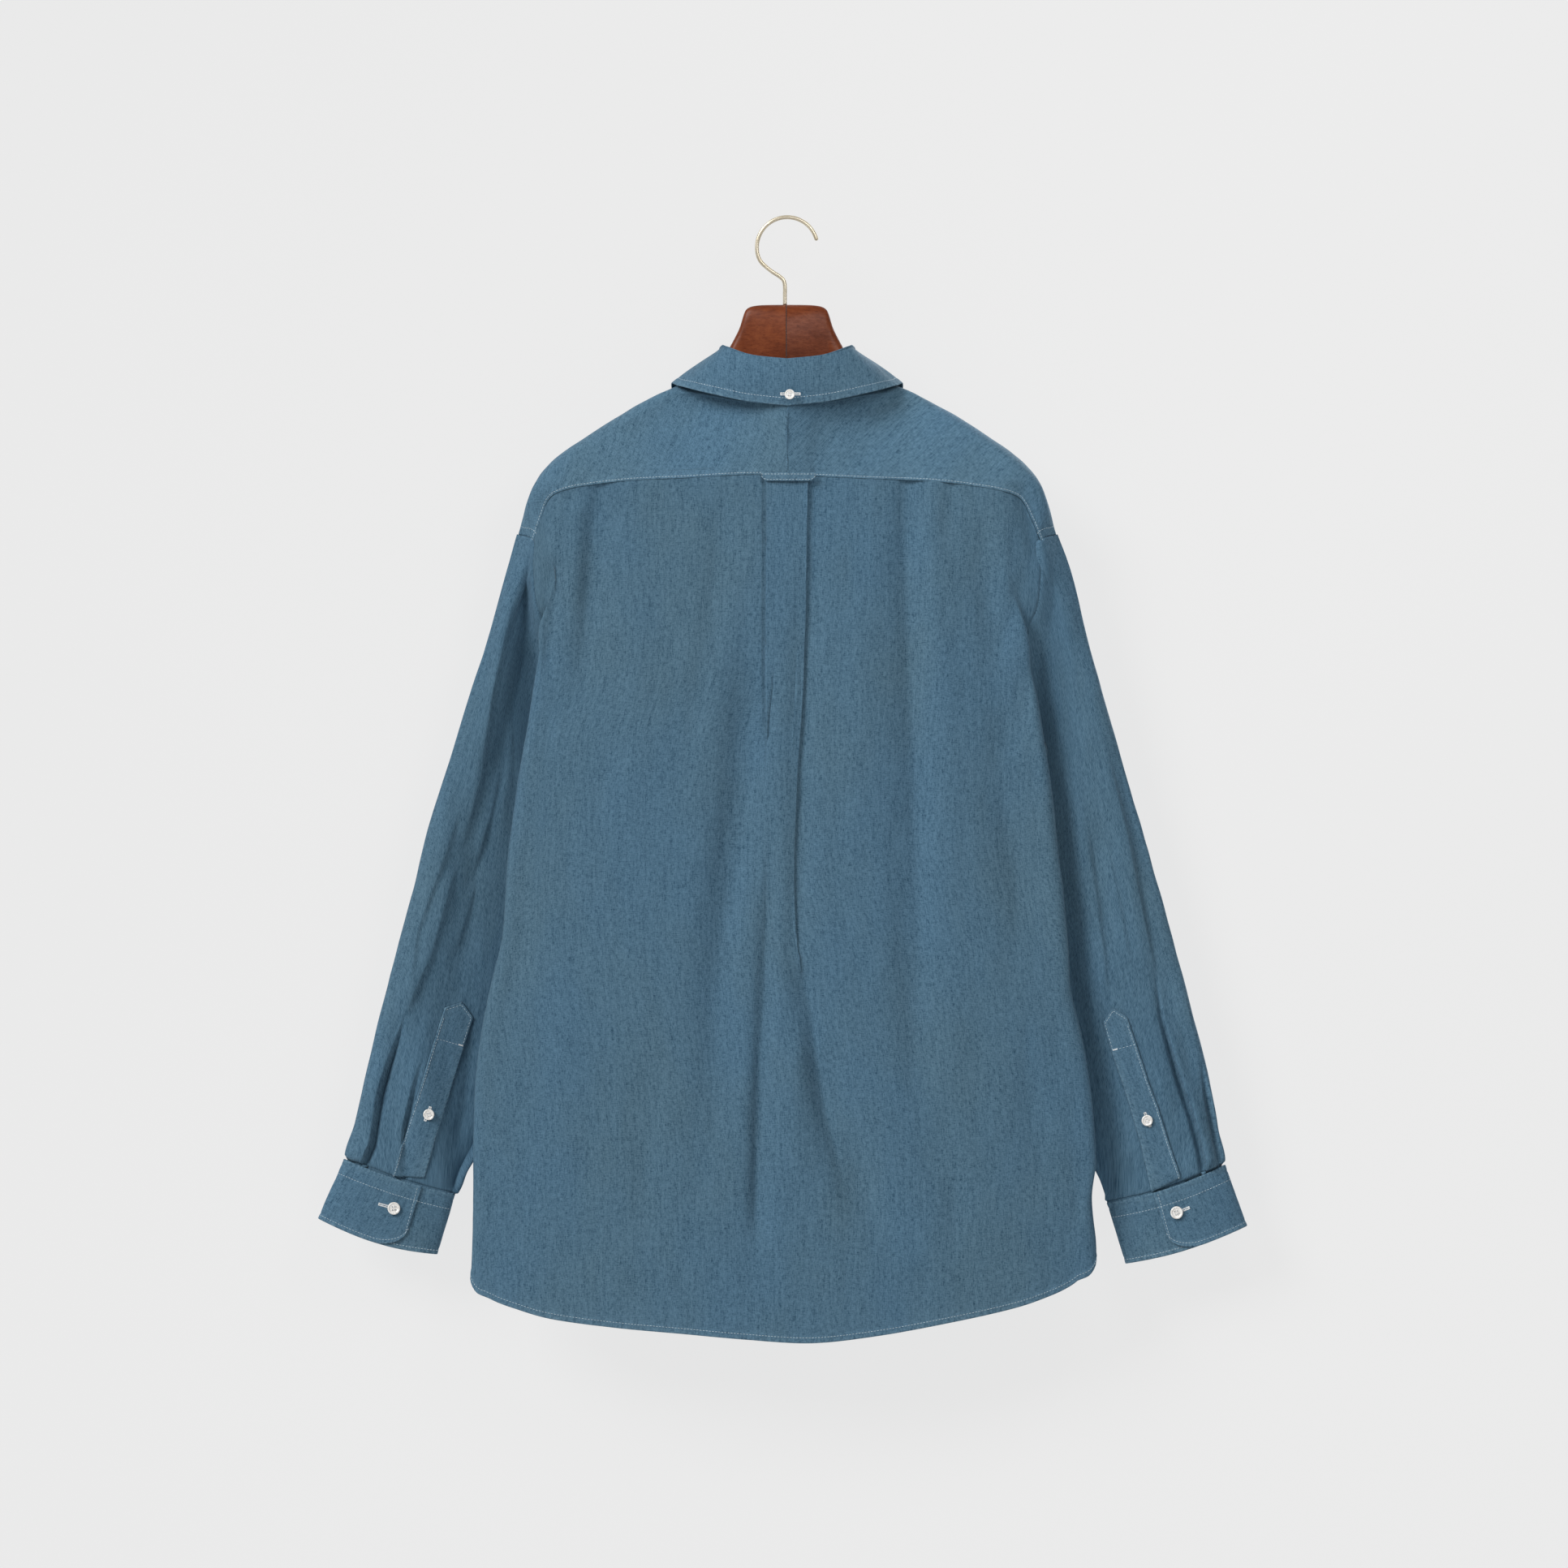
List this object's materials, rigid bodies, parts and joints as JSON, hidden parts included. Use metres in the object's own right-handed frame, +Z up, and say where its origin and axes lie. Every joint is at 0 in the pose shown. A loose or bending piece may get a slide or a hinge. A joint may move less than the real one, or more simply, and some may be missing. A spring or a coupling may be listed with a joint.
{
  "type": "denim shirt on hanger",
  "caption": "Light denim shirt with button-down collar, split yoke, box pleat and locker loop, buttoned and hung on a wooden hanger",
  "frame": {"origin": "inside top of the hook, where a rail carries the hanger", "axes": "+Z up, +Y the way the wearer faces, so the back shows from -Y; the wearer's left is at -X"},
  "size_m": [0.8043, 0.1009, 0.9746],
  "materials": {
    "cloth": "matt plain weave",
    "button": "polished",
    "wood": "satin lacquer",
    "metal": "plated wire"
  },
  "bodies": {
    "root": {"back": "cloth", "yoke_left": "cloth", "front_left": "cloth", "sleeve_left": "cloth", "cuff_left": "cloth", "sleeve_placket_left": "cloth", "yoke_right": "cloth", "front_right": "cloth", "sleeve_right": "cloth", "cuff_right": "cloth", "sleeve_placket_right": "cloth", "collar_stand": "cloth", "collar_leaf": "cloth", "front_placket": "cloth", "locker_loop": "cloth", "button_cuff_left": "button", "button_cuff_right": "button", "button_sleeve_left": "button", "button_sleeve_right": "button", "button_point_left": "button", "button_point_right": "button", "button_collar_back": "button", "button_stand": "button", "button_front_1": "button", "button_front_2": "button", "button_front_3": "button", "button_front_4": "button", "button_front_5": "button", "button_front_6": "button", "hanger_left": "wood", "hanger_right": "wood", "hook": "metal"}
  },
  "joints": []
}
